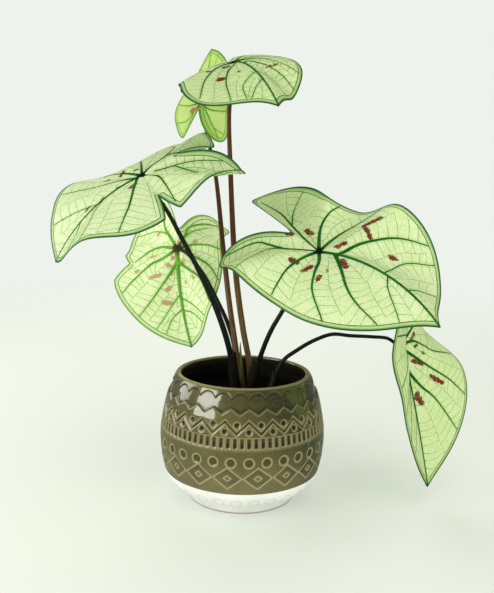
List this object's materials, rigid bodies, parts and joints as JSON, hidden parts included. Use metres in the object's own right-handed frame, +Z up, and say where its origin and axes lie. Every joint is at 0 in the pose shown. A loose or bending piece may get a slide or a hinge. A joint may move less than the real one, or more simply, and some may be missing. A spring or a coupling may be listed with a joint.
{
  "type": "potted caladium",
  "caption": "Potted caladium: veined heart-shaped leaves on long arching stalks, growing from a tuber in the soil of a round ceramic pot with a pressed geometric ornament.",
  "frame": {"origin": "middle of the pot's foot, on the surface that the pot stands on", "axes": "+Z up along the axis of the pot, the long tip of the drooping leaf towards +X, -Y towards the viewer"},
  "size_m": [0.3798, 0.2457, 0.4134],
  "materials": {
    "pot": "glossy olive-taupe glaze over pressed ornament, bare matte white clay below the glaze line",
    "soil": "loose dark potting soil with crumbs and bark",
    "tuber": "rough brown tuber skin",
    "petiole_brown": "smooth red-brown stalk, paler towards the foot, satin",
    "petiole_dark": "smooth near-black stalk, satin",
    "leaf": "pale green blade with dark green veins and margin and crimson blotches, satin",
    "leaf_pale": "thin yellow-green blade with green veins and faint pink blotches, satin"
  },
  "bodies": {
    "root": {"pot": "pot", "soil": "soil", "tuber": "tuber", "petiole_top": "petiole_brown", "petiole_young": "petiole_brown", "petiole_left": "petiole_dark", "petiole_back": "petiole_dark", "petiole_right": "petiole_dark", "petiole_drooping": "petiole_dark", "leaf_top": "leaf", "leaf_left": "leaf", "leaf_right": "leaf", "leaf_drooping": "leaf", "leaf_young": "leaf_pale", "leaf_back": "leaf_pale"}
  },
  "joints": []
}
